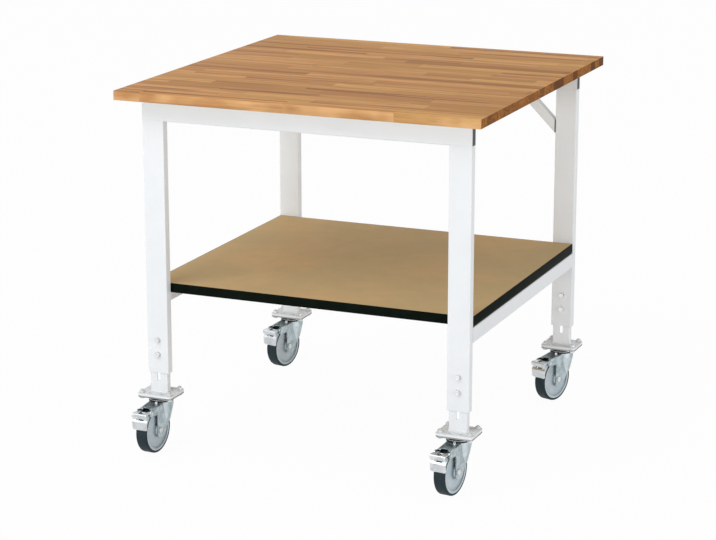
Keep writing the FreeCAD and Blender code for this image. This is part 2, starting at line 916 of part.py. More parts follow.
def make_pedal_pin():
    """The rivet that the pedal turns on, held in the hood's ears."""
    start = vector(-fork_half_width, -pedal_hinge_reach, hinge_z)
    pin = cylinder(pedal_pin_diameter / 2, 2 * fork_half_width, start, X_AXIS)
    left_start = start - X_AXIS * pedal_pin_head_height
    left = cylinder(pedal_pin_head_diameter / 2, pedal_pin_head_height, left_start, X_AXIS)
    right_start = start + X_AXIS * (2 * fork_half_width)
    right = cylinder(pedal_pin_head_diameter / 2, pedal_pin_head_height, right_start, X_AXIS)
    return single(pin.fuse(left).fuse(right))


def make_lock_rivet():
    """The head of the swivel lock's pin, which stands on the hood behind the swivel bearing."""
    radius = lock_rivet_diameter / 2
    y = -(race_radius + lock_rivet_gap + radius)
    start = vector(lock_rivet_side, y, hood_line_z(y) - hood_sheet)
    return cylinder(radius, lock_rivet_height, start, Z_AXIS)


def bent_strip(path, thickness, bend_radius):
    """A strip profile of even thickness about a path of (y, z) points, with rounded bends."""
    left_points = []
    right_points = []
    left_radii = []
    right_radii = []
    count = len(path)
    for index in range(count):
        point = vector(0, path[index][0], path[index][1])
        normals = []
        if index > 0:
            run = point - vector(0, path[index - 1][0], path[index - 1][1])
            normals.append(X_AXIS.cross(run).normalize())
        if index < count - 1:
            run = vector(0, path[index + 1][0], path[index + 1][1]) - point
            normals.append(X_AXIS.cross(run).normalize())
        turn = normals[0].cross(normals[-1]).x
        offset = (normals[0] + normals[-1]) * (thickness / 2 / (1 + normals[0].dot(normals[-1])))
        if len(normals) == 1:
            offset = normals[0] * (thickness / 2)
        left_points.append(point + offset)
        right_points.append(point - offset)
        inside = bend_radius if len(normals) == 2 else 0
        outside = bend_radius + thickness if len(normals) == 2 else 0
        left_radii.append(inside if turn > 0 else outside)
        right_radii.append(outside if turn > 0 else inside)
    return left_points + right_points[::-1], left_radii + right_radii[::-1]


def make_pedal():
    """A bent steel pedal: two arms on the pin, a rounded nose and an apron behind the tyre."""
    plate_z = hinge_z + pedal_plate_rise
    hinge_y = -pedal_hinge_reach
    nose_y = hinge_y - pedal_nose_reach
    notch_y = nose_y + pedal_notch_depth
    notch_z = plate_z - pedal_nose_height - pedal_notch_height
    apron_y = notch_y - pedal_apron_reach
    apron_top = notch_z - pedal_notch_height
    apron_low = apron_top - pedal_apron_height
    path = [
        (hinge_y + pedal_arm_reach, plate_z),
        (nose_y, plate_z + pedal_nose_rise),
        (nose_y, plate_z - pedal_nose_height),
        (notch_y, notch_z),
        (apron_y, apron_top),
        (apron_y + pedal_apron_lean, apron_low),
        (apron_y + pedal_apron_lean + pedal_foot_return, apron_low - pedal_foot_return),
    ]
    points, radii = bent_strip(path, pedal_sheet, pedal_bend_radius)
    shifted = []
    for point in points:
        shifted.append(vector(-fork_half_width, point.y, point.z))
    pedal = rounded_face(shifted, radii).extrude(X_AXIS * (2 * fork_half_width))
    arm_half = fork_inner_width / 2 - pedal_side_gap
    clear_radius = hood_ear_radius + pedal_swing_gap
    for side in (-1, 1):
        low = min(side * arm_half, side * fork_half_width)
        high = max(side * arm_half, side * fork_half_width)
        around_ear = cylinder(clear_radius, high - low, vector(low, hinge_y, hinge_z), X_AXIS)
        ahead = box(low, high, hinge_y, 0, 0, castor_height)
        pedal = pedal.cut(around_ear).cut(ahead)
        ear_low = min(side * arm_half, side * (arm_half - pedal_sheet))
        ear = cylinder(pedal_ear_radius, pedal_sheet, vector(ear_low, hinge_y, hinge_z), X_AXIS)
        ear_top = box(
            ear_low,
            ear_low + pedal_sheet,
            hinge_y - pedal_ear_radius,
            hinge_y + pedal_arm_reach,
            hinge_z,
            plate_z,
        )
        pedal = pedal.fuse(ear).fuse(ear_top)
    window_rear = nose_y + 2 * pedal_sheet
    window_z = plate_z - pedal_nose_height / 2
    window = rounded_face(
        [
            vector(-pedal_window_width / 2, 0, window_z),
            vector(-pedal_window_width / 2, hinge_y, window_z),
            vector(-pedal_window_tip / 2, window_rear, window_z),
            vector(pedal_window_tip / 2, window_rear, window_z),
            vector(pedal_window_width / 2, hinge_y, window_z),
            vector(pedal_window_width / 2, 0, window_z),
        ],
        [0] + [pedal_window_round] * 4 + [0],
    ).extrude(Z_AXIS * pedal_nose_height)
    half_slot = pedal_slot_length / 2
    slot = box(
        -half_slot,
        half_slot,
        nose_y - pedal_sheet,
        notch_y + pedal_sheet,
        notch_z - pedal_slot_height,
        notch_z,
    )
    foot_z = apron_low - pedal_foot_return - pedal_sheet / 2
    rounded_foot = rounded_face(
        [
            vector(-fork_half_width, -2 * beyond_wheel, foot_z),
            vector(fork_half_width, -2 * beyond_wheel, foot_z),
            vector(fork_half_width, -2 * beyond_wheel, castor_height),
            vector(-fork_half_width, -2 * beyond_wheel, castor_height),
        ],
        [pedal_foot_corner, pedal_foot_corner, 0, 0],
    ).extrude(Y_AXIS * (2 * beyond_wheel))
    pedal = pedal.cut(window).cut(slot).common(rounded_foot)
    pin_radius = pedal_pin_diameter / 2 + running_clearance
    pin_start = vector(-fork_half_width, hinge_y, hinge_z)
    return single(pedal.cut(cylinder(pin_radius, 2 * fork_half_width, pin_start, X_AXIS)))


# ---------------------------------------------------------------- the whole table


def save_table():
    """Everything that is screwed, welded or clamped to the frame."""
    save("worktop", make_worktop())
    save("worktop_screws", *[make_worktop_screw(place) for place in worktop_screw_places()])
    save("front_top_rail", make_top_rail(-1))
    save("rear_top_rail", make_top_rail(1))
    save("brace_left", make_brace(-1))
    save("brace_right", make_brace(1))
    save("brace_caps", make_brace_cap(-1), make_brace_cap(1))
    save("side_rail_left", make_side_rail(-1))
    save("side_rail_right", make_side_rail(1))
    save("shelf_strips", make_shelf_strip(-1), make_shelf_strip(1))
    save("shelf_board", make_shelf_blank(shelf_edging))
    save("shelf_edging", make_shelf_edging())
    end_caps = []
    bolts = []
    washers = []
    clamps = []
    for name, (side_x, side_y, heading) in corners.items():
        save("outer_leg_" + name, make_outer_leg(side_x, side_y))
        end_caps.append(make_rail_end_cap(side_x, side_y))
        clamps.append(make_clamp_plate(side_x, side_y))
        for bolt_z in (lower_bolt_z, upper_bolt_z):
            bolts.append(make_height_bolt(side_x, side_y, bolt_z))
            washers.append(make_height_washer(side_x, side_y, bolt_z))
    save("rail_end_caps", *end_caps)
    save("height_bolts", *bolts)
    save("height_washers", *washers)
    save("clamp_plates", *clamps)


def save_corner(name, side_x, side_y, heading):
    """One inner leg with its castor, which is turned about the swivel axis."""
    centre = vector(side_x * leg_centre_x, side_y * portal_centre_y, 0)

    def stand(shape):
        copy = shape.copy()
        copy.translate(centre)
        return copy

    def turn(shape):
        copy = shape.copy()
        copy.rotate(vector(0, 0, 0), Z_AXIS, heading)
        copy.translate(centre)
        return copy

    bolts = []
    for x, y in rectangle_places(castor_hole_spacing_x, castor_hole_spacing_y):
        bolts.append(stand(make_castor_bolt(x, y)))
        bolts.append(stand(make_castor_nut(x, y)))
    save("inner_leg_" + name, make_inner_leg(side_x, side_y))
    save("foot_plate_" + name, stand(make_foot_plate()))
    save("castor_plate_" + name, stand(make_castor_plate()), stand(make_kingpin()))
    save("castor_bolts_" + name, *bolts)
    save("fork_" + name, turn(make_fork()))
    save("axle_" + name, turn(make_axle_bolt()), turn(make_axle_nut()), turn(make_axle_sleeve()))
    save("brake_pins_" + name, turn(make_pedal_pin()), turn(make_lock_rivet()))
    save("wheel_core_" + name, turn(make_wheel_core()))
    save("tyre_" + name, turn(make_tyre()))
    save("pedal_" + name, turn(make_pedal()))


os.makedirs("parts", exist_ok=True)
save_table()
for corner_name, (corner_x, corner_y, corner_heading) in corners.items():
    save_corner(corner_name, corner_x, corner_y, corner_heading)
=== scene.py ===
import json
import math
import random

import bmesh
import bpy
from mathutils import Matrix, Vector


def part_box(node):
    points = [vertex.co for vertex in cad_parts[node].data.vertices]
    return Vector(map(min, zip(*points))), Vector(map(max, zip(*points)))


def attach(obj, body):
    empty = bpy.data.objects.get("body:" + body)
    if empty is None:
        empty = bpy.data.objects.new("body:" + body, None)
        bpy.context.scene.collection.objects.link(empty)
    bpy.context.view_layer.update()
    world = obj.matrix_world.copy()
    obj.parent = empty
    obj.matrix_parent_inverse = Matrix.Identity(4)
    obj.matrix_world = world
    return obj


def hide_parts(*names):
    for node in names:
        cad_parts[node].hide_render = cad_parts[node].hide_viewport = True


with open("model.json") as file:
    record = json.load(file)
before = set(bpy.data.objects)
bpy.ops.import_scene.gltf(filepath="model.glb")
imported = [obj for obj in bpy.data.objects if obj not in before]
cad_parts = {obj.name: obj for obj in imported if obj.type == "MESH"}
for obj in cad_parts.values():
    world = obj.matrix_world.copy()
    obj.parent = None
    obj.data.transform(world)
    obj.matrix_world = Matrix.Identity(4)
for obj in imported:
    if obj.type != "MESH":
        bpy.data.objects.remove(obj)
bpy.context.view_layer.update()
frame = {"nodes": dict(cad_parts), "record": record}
nodes = frame["nodes"]
record = frame["record"]
draw = random.Random(1987)

CORNERS = ("front_left", "front_right", "rear_left", "rear_right")
joints = {joint["name"]: joint for joint in record["behaviour"]["joints"]}


# ------------------------------------------------------------------ materials
# Lengths are in metres, and the factors of a noise are its cycles per metre along x, y and z.


class Finish:
    """A procedural material, built node by node on the rest coordinates of its pieces."""

    EDGE_LEAN = (0.02, 0.2)
    RIM_LEAN = (0.01, 0.12)

    def __init__(self, name, metallic=0.0, specular=0.5):
        self.material = bpy.data.materials.new(name)
        self.material.use_nodes = True
        self.tree = self.material.node_tree
        self.shader = self.tree.nodes["Principled BSDF"]
        self.shader.inputs["Metallic"].default_value = metallic
        self.shader.inputs["Specular IOR Level"].default_value = specular
        place = self.tree.nodes.new("ShaderNodeTexCoord")
        self.place = place.outputs["Object"]
        self.normal = place.outputs["Normal"]

    def put(self, socket, value):
        """Links the value to the socket if it is a socket itself, and otherwise sets it."""
        if isinstance(value, bpy.types.NodeSocket):
            self.tree.links.new(value, socket)
        elif isinstance(value, tuple) and len(value) == 3 and socket.type == "RGBA":
            socket.default_value = (*value, 1.0)
        else:
            socket.default_value = value

    def node(self, kind, inputs, **settings):
        """A new node, with its own settings and the values or links of its inputs."""
        made = self.tree.nodes.new(kind)
        for key, value in settings.items():
            setattr(made, key, value)
        for key, value in inputs.items():
            self.put(made.inputs[key], value)
        return made

    def math(self, operation, *values):
        made = self.node("ShaderNodeMath", dict(enumerate(values)), operation=operation)
        return made.outputs[0]

    def scaled(self, factors, offset=(0, 0, 0), vector=None):
        """The place, or another vector, times one factor per axis or one for all."""
        if not isinstance(factors, tuple):
            factors = (factors, factors, factors)
        inputs = {0: vector or self.place, 1: factors, 2: offset}
        return self.node("ShaderNodeVectorMath", inputs, operation="MULTIPLY_ADD").outputs[0]

    def noise(
        self, factors, detail=3.0, roughness=0.55, offset=(0, 0, 0), distortion=0.0, vector=None
    ):
        inputs = {
            "Vector": self.scaled(factors, offset, vector),
            "Scale": 1.0,
            "Detail": detail,
            "Roughness": roughness,
            "Distortion": distortion,
        }
        return self.node("ShaderNodeTexNoise", inputs).outputs[0]

    def cells(self, factor):
        """Voronoi cells: the distance from a place to the middle of its cell."""
        inputs = {"Vector": self.scaled(factor), "Scale": 1.0}
        return self.node("ShaderNodeTexVoronoi", inputs).outputs[0]

    def span(self, value, low, high, to_low=0.0, to_high=1.0):
        """Eases value from to_low at low up to to_high at high."""
        inputs = {0: value, 1: low, 2: high, 3: to_low, 4: to_high}
        made = self.node("ShaderNodeMapRange", inputs, interpolation_type="SMOOTHSTEP")
        return made.outputs[0]

    def mix(self, factor, first, second, blend="MIX"):
        inputs = {0: factor, 6: first, 7: second}
        return self.node("ShaderNodeMix", inputs, data_type="RGBA", blend_type=blend).outputs[2]

    def layer(self, base, pattern, low, high, strength, colour):
        """Lays colour over base: not at all where pattern is low, up to strength at high."""
        return self.mix(self.span(pattern, low, high, 0.0, strength), base, colour)

    def tint(self, base, mask, strength, colour):
        """Lays colour over base where mask is 1, up to strength."""
        return self.mix(self.math("MULTIPLY", mask, strength), base, colour)

    def parts(self, vector):
        return self.node("ShaderNodeSeparateXYZ", {0: vector}).outputs

    def attribute(self, name):
        """A colour attribute's three values as a vector, and its fourth."""
        made = self.node("ShaderNodeAttribute", {}, attribute_name=name)
        return made.outputs["Color"], made.outputs["Alpha"]

    def edges(self):
        """1 on rounded edges, whose normals lie between the main directions, and 0 on faces."""
        x, y, z = (self.math("ABSOLUTE", part) for part in self.parts(self.normal))
        most = self.math("MAXIMUM", self.math("MAXIMUM", x, y), z)
        return self.span(self.math("SUBTRACT", 1.0, most), *self.EDGE_LEAN)

    def soft(self, radius):
        """A normal that rolls over the sharp edges of a surface."""
        return self.node("ShaderNodeBevel", {"Radius": radius}, samples=6).outputs[0]

    def rim(self, soft):
        """1 where soft has rolled over a sharp edge, and 0 on the faces beside it."""
        plain = self.tree.nodes.new("ShaderNodeNewGeometry").outputs["Normal"]
        made = self.node("ShaderNodeVectorMath", {0: soft, 1: plain}, operation="DOT_PRODUCT")
        return self.span(self.math("SUBTRACT", 1.0, made.outputs["Value"]), *self.RIM_LEAN)

    def recess_shade(self, reach, low, high):
        """1 deep in grooves and corners, where shade falls, and 0 on open faces: the mask of a
        painted shade.
        """
        settings = {"samples": 8, "only_local": True}
        made = self.node("ShaderNodeAmbientOcclusion", {"Distance": reach}, **settings)
        return self.span(made.outputs["AO"], low, high, 1.0, 0.0)

    def bump(self, height, distance, strength, under=None):
        """A normal that follows a fine relief, on top of the normal given as under."""
        inputs = {"Strength": strength, "Distance": distance, "Height": height}
        if under is not None:
            inputs["Normal"] = under
        return self.node("ShaderNodeBump", inputs).outputs[0]

    def finish(self, colour, roughness, normal):
        """Gives the shader its colour, roughness and normal, and returns the material."""
        self.put(self.shader.inputs["Base Color"], colour)
        self.put(self.shader.inputs["Roughness"], roughness)
        self.put(self.shader.inputs["Normal"], normal)
        return self.material


worktop_low, worktop_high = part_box("worktop")
STAVE_ROWS = 25
STAVE_WIDTH = (worktop_high.y - worktop_low.y) / STAVE_ROWS
STAVE_ORIGIN = -worktop_low.y
GLUE_LINE = (0.0001, 0.0005)
BUTT_JOINT = (0.0001, 0.0006)
BEECH = {
    "pale stave": (0.745, 0.4, 0.14),
    "usual stave": (0.554, 0.281, 0.089),
    "dark stave": (0.306, 0.129, 0.035),
    "broad band": (0.43, 0.2, 0.054),
    "late wood": (0.36, 0.152, 0.04),
    "early wood": (0.765, 0.435, 0.164),
    "streak": (0.32, 0.138, 0.038),
    "ray fleck": (0.3, 0.15, 0.065),
    "heartwood": (0.24, 0.1, 0.027),
    "cool hue": (1.0, 1.03, 0.93),
    "warm hue": (1.035, 0.975, 1.0),
    "glue": (0.22, 0.11, 0.05),
    "without oil": (0.86, 0.76, 0.62),
    # paler planed wood and painted highlight on the front and rear edges
    "planed and lit patch": (1.0, 0.62, 0.3),
    "pale end": (0.42, 0.165, 0.036),
    "dark end": (0.14, 0.05, 0.01),
    "year ring": (0.09, 0.03, 0.006),
    "pore": (0.1, 0.045, 0.02),
    "rubbed edge": (0.6, 0.38, 0.2),
}


def stave_joints(f, along, length):
    """1 on the glue lines between the rows and on the butt joints along a row."""
    y = f.parts(f.place)[1]
    half = STAVE_WIDTH / 2
    row = f.math("PINGPONG", f.math("ADD", y, STAVE_ORIGIN), half)
    across = f.math("SUBTRACT", half, f.math("ABSOLUTE", f.math("SUBTRACT", row, half)))
    row_gap = f.math("MINIMUM", row, across)
    end_gap = f.math("MINIMUM", along, f.math("SUBTRACT", length, along))
    glue_line = f.span(row_gap, *GLUE_LINE, 1.0, 0.0)
    return f.math("MAXIMUM", glue_line, f.span(end_gap, *BUTT_JOINT, 1.0, 0.0))


def beech_finish():
    """Oiled beech: each stave has its own tone and grain, with darker end grain."""
    f = Finish("beech", specular=0.16)
    values, length = f.attribute("stave")
    tone, seed, along = f.parts(values)
    shift = {0: f.math("MULTIPLY", seed, 37.0), 1: f.math("MULTIPLY", seed, 91.0), 2: 0.0}
    shift = f.node("ShaderNodeCombineXYZ", shift).outputs[0]
    moved = f.node("ShaderNodeVectorMath", {0: f.place, 1: shift}, operation="ADD").outputs[0]

    def grain(factors, detail, roughness=0.6, distortion=0.0):
        return f.noise(factors, detail, roughness, distortion=distortion, vector=moved)

    broad = grain((1.6, 60.0, 40.0), 3.0, distortion=0.6)
    streaky = grain((1.1, 48.0, 40.0), 2.0, distortion=0.3)
    band = grain((6.0, 150.0, 110.0), 4.0, 0.65, distortion=0.3)
    streak = grain((5.0, 420.0, 260.0), 4.0)
    fleck = grain((160.0, 1500.0, 900.0), 1.0)
    ring = grain((2.0, 150.0, 150.0), 3.0, distortion=1.8)
    patch = grain((7.0, 14.0, 14.0), 2.0)

    # the stave's own tone, and its grain over it
    wood = BEECH
    base = f.mix(f.span(tone, 0.0, 0.55), wood["pale stave"], wood["usual stave"])
    base = f.mix(f.span(tone, 0.55, 1.0), base, wood["dark stave"])
    base = f.layer(base, broad, 0.35, 0.66, 0.5, wood["broad band"])
    base = f.layer(base, band, 0.48, 0.66, 0.6, wood["late wood"])
    base = f.layer(base, band, 0.44, 0.28, 0.45, wood["early wood"])
    base = f.layer(base, streak, 0.45, 0.75, 0.5, wood["streak"])
    base = f.layer(base, fleck, 0.6, 0.78, 0.35, wood["ray fleck"])
    heart = f.math("MULTIPLY", f.span(seed, 0.4, 0.85), f.span(streaky, 0.5, 0.62))
    base = f.tint(base, heart, 0.8, wood["heartwood"])
    warmth = f.math("ADD", f.math("MULTIPLY", seed, 0.6), f.math("MULTIPLY", patch, 0.5))
    hue = f.mix(f.span(warmth, 0.15, 0.75), wood["cool hue"], wood["warm hue"])
    base = f.mix(1.0, base, hue, "MULTIPLY")
    joint = stave_joints(f, along, length)
    base = f.tint(base, joint, 0.4, wood["glue"])

    # the pale underside, and the planed front and rear edges: paler wood with a painted
    # highlight of the frontal light on them
    facing = f.parts(f.normal)
    facing_x, facing_y = (f.math("ABSOLUTE", part) for part in tuple(facing)[:2])
    unoiled = f.span(facing[2], -0.9, -0.6, 0.75, 0.0)
    base = f.mix(unoiled, base, wood["without oil"])
    # partly paler planed wood, partly a painted highlight: front and rear faces are lightened in
    # patches
    planed_and_lit = f.span(facing_y, 0.6, 0.85)
    bright = f.mix(f.span(patch, 0.35, 0.65, 0.05, 0.4), base, wood["planed and lit patch"])
    base = f.mix(planed_and_lit, base, bright)

    # the end grain on the left and the right
    end = f.span(facing_x, 0.6, 0.85)
    end_tone = f.mix(f.span(seed, 0.3, 1.0), wood["pale end"], wood["dark end"])
    end_tone = f.layer(end_tone, ring, 0.42, 0.58, 0.8, wood["year ring"])
    pores = f.cells(1400.0)
    end_tone = f.mix(f.span(pores, 0.05, 0.35, 0.45, 0.0), end_tone, wood["pore"])
    base = f.mix(end, base, end_tone)
    base = f.tint(base, f.edges(), 0.3, wood["rubbed edge"])

    rough = f.span(streak, 0.3, 0.8, 0.55, 0.68)
    rough = f.math("ADD", rough, f.math("MULTIPLY", end, 0.16))
    relief = f.math("ADD", f.math("MULTIPLY", streak, 0.6), f.math("MULTIPLY", fleck, 0.3))
    relief = f.math("SUBTRACT", relief, f.math("MULTIPLY", joint, 0.5))
    return f.finish(base, rough, f.bump(relief, 0.00012, 0.55))


def paint_finish():
    """Light grey powder coat with a fine orange peel, thinner and glossier on the edges."""
    f = Finish("frame_paint", specular=0.45)
    cloud = f.noise(9.0)
    speck = f.noise(650.0, 2.0)
    peel = f.noise(820.0, 2.0, offset=(3, 7, 1))
    wear = f.noise(60.0, 4.0, offset=(11, 5, 2))
    soft = f.soft(0.0009)
    base = f.mix(f.span(cloud, 0.3, 0.7), (0.725, 0.748, 0.768), (0.755, 0.776, 0.793))
    base = f.layer(base, speck, 0.55, 0.75, 0.1, (0.62, 0.64, 0.66))
    edge = f.math("MAXIMUM", f.edges(), f.rim(soft))
    base = f.tint(base, edge, 0.35, (0.82, 0.84, 0.86))
    rubbed = f.math("MULTIPLY", edge, f.span(wear, 0.6, 0.72))
    base = f.tint(base, rubbed, 0.45, (0.56, 0.565, 0.57))
    rough = f.span(cloud, 0.3, 0.7, 0.4, 0.48)
    rough = f.math("SUBTRACT", rough, f.math("MULTIPLY", edge, 0.08))
    return f.finish(base, rough, f.bump(peel, 0.00005, 0.4, soft))


def moulded_finish(
    name, dark, light, texture, roughness, rubbed=None, specular=0.3, recess_shade=None
):
    """Moulded plastic or rubber; rubbed is its colour on edges, and the recess colour is a
    painted shade laid in grooves and corners.
    """
    f = Finish(name, specular=specular)
    cloud = f.noise(30.0, 4.0)
    skin = f.noise(texture, offset=(4, 9, 2))
    base = f.mix(f.span(cloud, 0.3, 0.7), dark, light)
    base = f.layer(base, skin, 0.5, 0.75, 0.25, light)
    if rubbed:
        base = f.tint(base, f.edges(), 0.5, rubbed)
    if recess_shade:
        # painted shade: grooves and corners are darkened where little light reaches them
        base = f.mix(f.recess_shade(0.012, 0.55, 0.95), base, recess_shade)
    rough = f.span(skin, 0.3, 0.7, roughness - 0.06, roughness + 0.08)
    return f.finish(base, rough, f.bump(skin, 0.00006, 0.6))


def zinc_finish(
    name, dark, light, bright, roughness, streaks=(40.0, 40.0, 900.0), metallic=0.85, slot_shade=None
):
    """Zinc plate: a faint spangle, rolling marks and bright edges; a painted shade darkens its
    upward faces.
    """
    f = Finish(name, metallic=metallic)
    cloud = f.noise(55.0, 4.0, distortion=0.4)
    marks = f.noise(streaks, offset=(5, 1, 8))
    grit = f.noise(1500.0, 2.0)
    base = f.mix(f.span(cloud, 0.25, 0.75), dark, light)
    base = f.layer(base, marks, 0.5, 0.8, 0.35, dark)
    soft = f.soft(0.0006)
    edge = f.math("MAXIMUM", f.edges(), f.rim(soft))
    base = f.tint(base, edge, 0.45, bright)
    # painted shade: faces that look up are darkened, as they show in shadow through the foot
    # plate's slots
    if slot_shade:
        upward = f.span(f.parts(f.normal)[2], 0.7, 0.9)
        base = f.tint(base, upward, 0.9, slot_shade)
    rough = f.span(cloud, 0.25, 0.75, roughness - 0.06, roughness + 0.08)
    rough = f.math("ADD", rough, f.math("MULTIPLY", marks, 0.06))
    relief = f.math("ADD", f.math("MULTIPLY", marks, 0.7), f.math("MULTIPLY", grit, 0.3))
    return f.finish(base, rough, f.bump(relief, 0.00004, 0.5, soft))


def board_finish():
    """The shelf's smooth brown fibreboard with fine fibres in every direction."""
    f = Finish("board", specular=0.15)
    cloud = f.noise(3.2, 5.0, 0.6)
    blotch = f.noise(24.0, 4.0, offset=(2, 2, 9))
    fibre_one = f.noise((900.0, 160.0, 300.0), 2.0, distortion=0.8)
    fibre_two = f.noise((160.0, 900.0, 300.0), 2.0, offset=(7, 3, 1), distortion=0.8)
    base = f.mix(f.span(cloud, 0.35, 0.65), (0.535, 0.395, 0.2), (0.625, 0.425, 0.205))
    base = f.layer(base, blotch, 0.4, 0.75, 0.16, (0.46, 0.315, 0.15))
    base = f.layer(base, fibre_one, 0.6, 0.75, 0.3, (0.38, 0.24, 0.11))
    base = f.layer(base, fibre_two, 0.6, 0.75, 0.25, (0.66, 0.48, 0.26))
    relief = f.math("ADD", fibre_one, fibre_two)
    rough = f.span(blotch, 0.3, 0.7, 0.64, 0.68)
    return f.finish(base, rough, f.bump(relief, 0.00005, 0.4))


def tyre_finish():
    """Dark blue-grey rubber with a dusty tread."""
    f = Finish("tyre", specular=0.25)
    dust = f.noise(110.0, 4.0)
    skin = f.noise(900.0, 2.0, offset=(1, 6, 3))
    base = f.mix(f.span(dust, 0.35, 0.7), (0.005, 0.015, 0.021), (0.012, 0.027, 0.033))
    base = f.layer(base, skin, 0.55, 0.75, 0.2, (0.04, 0.058, 0.066))
    rough = f.span(dust, 0.3, 0.7, 0.5, 0.68)
    return f.finish(base, rough, f.bump(skin, 0.00008, 0.6))


materials = {
    "beech": beech_finish(),
    "frame_paint": paint_finish(),
    "board": board_finish(),
    "tyre": tyre_finish(),
    "charcoal_plastic": moulded_finish(
        "charcoal_plastic",
        dark=(0.045, 0.05, 0.056),
        light=(0.06, 0.065, 0.072),
        texture=1400.0,
        roughness=0.55,
        rubbed=(0.12, 0.125, 0.13),
    ),
    "strip_rubber": moulded_finish(
        "strip_rubber",
        dark=(0.02, 0.02, 0.021),
        light=(0.035, 0.035, 0.036),
        texture=700.0,
        roughness=0.7,
    ),
    "black_edging": moulded_finish(
        "black_edging",
        dark=(0.001, 0.003, 0.0015),
        light=(0.003, 0.006, 0.0035),
        texture=900.0,
        roughness=0.65,
        rubbed=(0.01, 0.014, 0.01),
        specular=0.04,
    ),
    "wheel_plastic": moulded_finish(
        "wheel_plastic",
        dark=(0.46, 0.53, 0.57),
        light=(0.53, 0.6, 0.64),
        texture=800.0,
        roughness=0.46,
        # painted shade in the wheel's grooves and round its hub
        recess_shade=(0.2, 0.26, 0.3),
    ),
    "zinc": zinc_finish(
        "zinc",
        dark=(0.2, 0.21, 0.215),
        light=(0.32, 0.33, 0.335),
        bright=(0.6, 0.6, 0.6),
        roughness=0.4,
        # painted shade for the castor plate's top, which is seen only in shadow through the
        # slots
        slot_shade=(0.06, 0.06, 0.062),
    ),
    "bolt_zinc": zinc_finish(
        "bolt_zinc",
        dark=(0.54, 0.55, 0.555),
        light=(0.68, 0.685, 0.69),
        bright=(0.86, 0.86, 0.86),
        roughness=0.42,
        streaks=(300.0, 300.0, 300.0),
        metallic=0.7,
    ),
    "fork_zinc": zinc_finish(
        "fork_zinc",
        dark=(0.26, 0.32, 0.34),
        light=(0.5, 0.58, 0.61),
        bright=(0.8, 0.87, 0.9),
        roughness=0.25,
        streaks=(60.0, 60.0, 700.0),
    ),
    "pedal_zinc": zinc_finish(
        "pedal_zinc",
        dark=(0.5, 0.53, 0.55),
        light=(0.7, 0.72, 0.735),
        bright=(0.92, 0.93, 0.94),
        roughness=0.28,
        streaks=(700.0, 60.0, 60.0),
    ),
}
slot_of = {part["node"]: part["material_slot"] for part in record["subparts"]}
for node_name, node in nodes.items():
    node.data.materials.clear()
    node.data.materials.append(materials[slot_of[node_name]])


# ------------------------------------------------------------------ mesh helpers

SMOOTH_BELOW = math.radians(30.0)
BEVEL_ABOVE = math.radians(40.0)
ROUND_STEPS = 32
HEX_STEPS = 48
ON_HEXAGON = -1.0
HEX_CHAMFER = 0.96
HEX_SLOPE = math.tan(math.radians(30))
ANGLE_NUDGE = 1e-9
WASHER_FACE = 0.0004
DISH_WIDTH = 0.62
DISH_DEPTH = 0.0004
DISH_FLOOR = 0.9
SINK_WIDTH = 1.08
SINK_DEPTH = 0.0006
THREAD_DEPTH = 0.54
THREAD_TURN = (0.1, 0.5, 0.6)
THREAD_TIP = (0.2, 1.2)
SAME_PLACE = 1e-7


def mesh_piece(name, mesh, slot_name, body, *replaced):
    """Turns a finished bmesh into a piece that rides a body and may stand for CAD nodes."""
    data = bpy.data.meshes.new(name)
    bmesh.ops.recalc_face_normals(mesh, faces=mesh.faces)
    mesh.to_mesh(data)
    mesh.free()
    data.materials.append(materials[slot_name])
    piece = bpy.data.objects.new(name, data)
    bpy.context.scene.collection.objects.link(piece)
    data.shade_smooth()
    data.set_sharp_from_angle(angle=SMOOTH_BELOW)
    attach(piece, body)
    if replaced:
        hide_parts(*replaced)


def box_mesh(low, high):
    """A box as a bmesh, from its two corners."""
    mesh = bmesh.new()
    size = high - low
    place = Matrix.Translation((low + high) / 2) @ Matrix.Diagonal((*size, 1.0))
    bmesh.ops.create_cube(mesh, size=1.0, matrix=place)
    return mesh


def bevel(mesh, edges, width, segments=3):
    """Rounds the given edges over width."""
    bmesh.ops.bevel(
        mesh,
        geom=edges,
        offset=width,
        segments=segments,
        profile=0.5,
        affect="EDGES",
        clamp_overlap=True,
    )


def sharp_edges(mesh):
    """The edges at which the surface turns by more than BEVEL_ABOVE."""
    folded = [edge for edge in mesh.edges if len(edge.link_faces) == 2]
    return [edge for edge in folded if edge.calc_face_angle() > BEVEL_ABOVE]


def join_rings(mesh, first, second):
    """Faces between two rings of vertices, or of corners, that have the same count."""
    for index in range(len(first)):
        after = (index + 1) % len(first)
        mesh.faces.new((first[index], first[after], second[after], second[index]))


def cap_ends(mesh, rings):
    """Flat faces over the first and the last ring."""
    mesh.faces.new(rings[0])
    mesh.faces.new(rings[-1])


def lathe(mesh, profile, place, steps, reshape=None):
    """Turns (height, radius) points about the local Z axis; reshape may move them by angle."""
    rings = []
    for height, radius in profile:
        ring = []
        for index in range(steps):
            angle = 2 * math.pi * index / steps
            z, r = reshape(angle, height, radius) if reshape else (height, radius)
            spot = Vector((r * math.cos(angle), r * math.sin(angle), z))
            ring.append(mesh.verts.new(place @ spot))
        rings.append(ring)
    for low, high in zip(rings, rings[1:]):
        join_rings(mesh, low, high)
    return rings


def closed_ring(mesh, section, place, steps):
    """Turns a closed (radius, height) section about the local Z axis."""
    profile = [(height, radius) for radius, height in section + section[:1]]
    rings = lathe(mesh, profile, place, steps)
    bmesh.ops.remove_doubles(mesh, verts=rings[0] + rings[-1], dist=SAME_PLACE)


def shank(mesh, place, radius, length):
    """A plain round shank from place up to length, closed at both ends."""
    cap_ends(mesh, lathe(mesh, [(0.0, radius), (length, radius)], place, ROUND_STEPS))


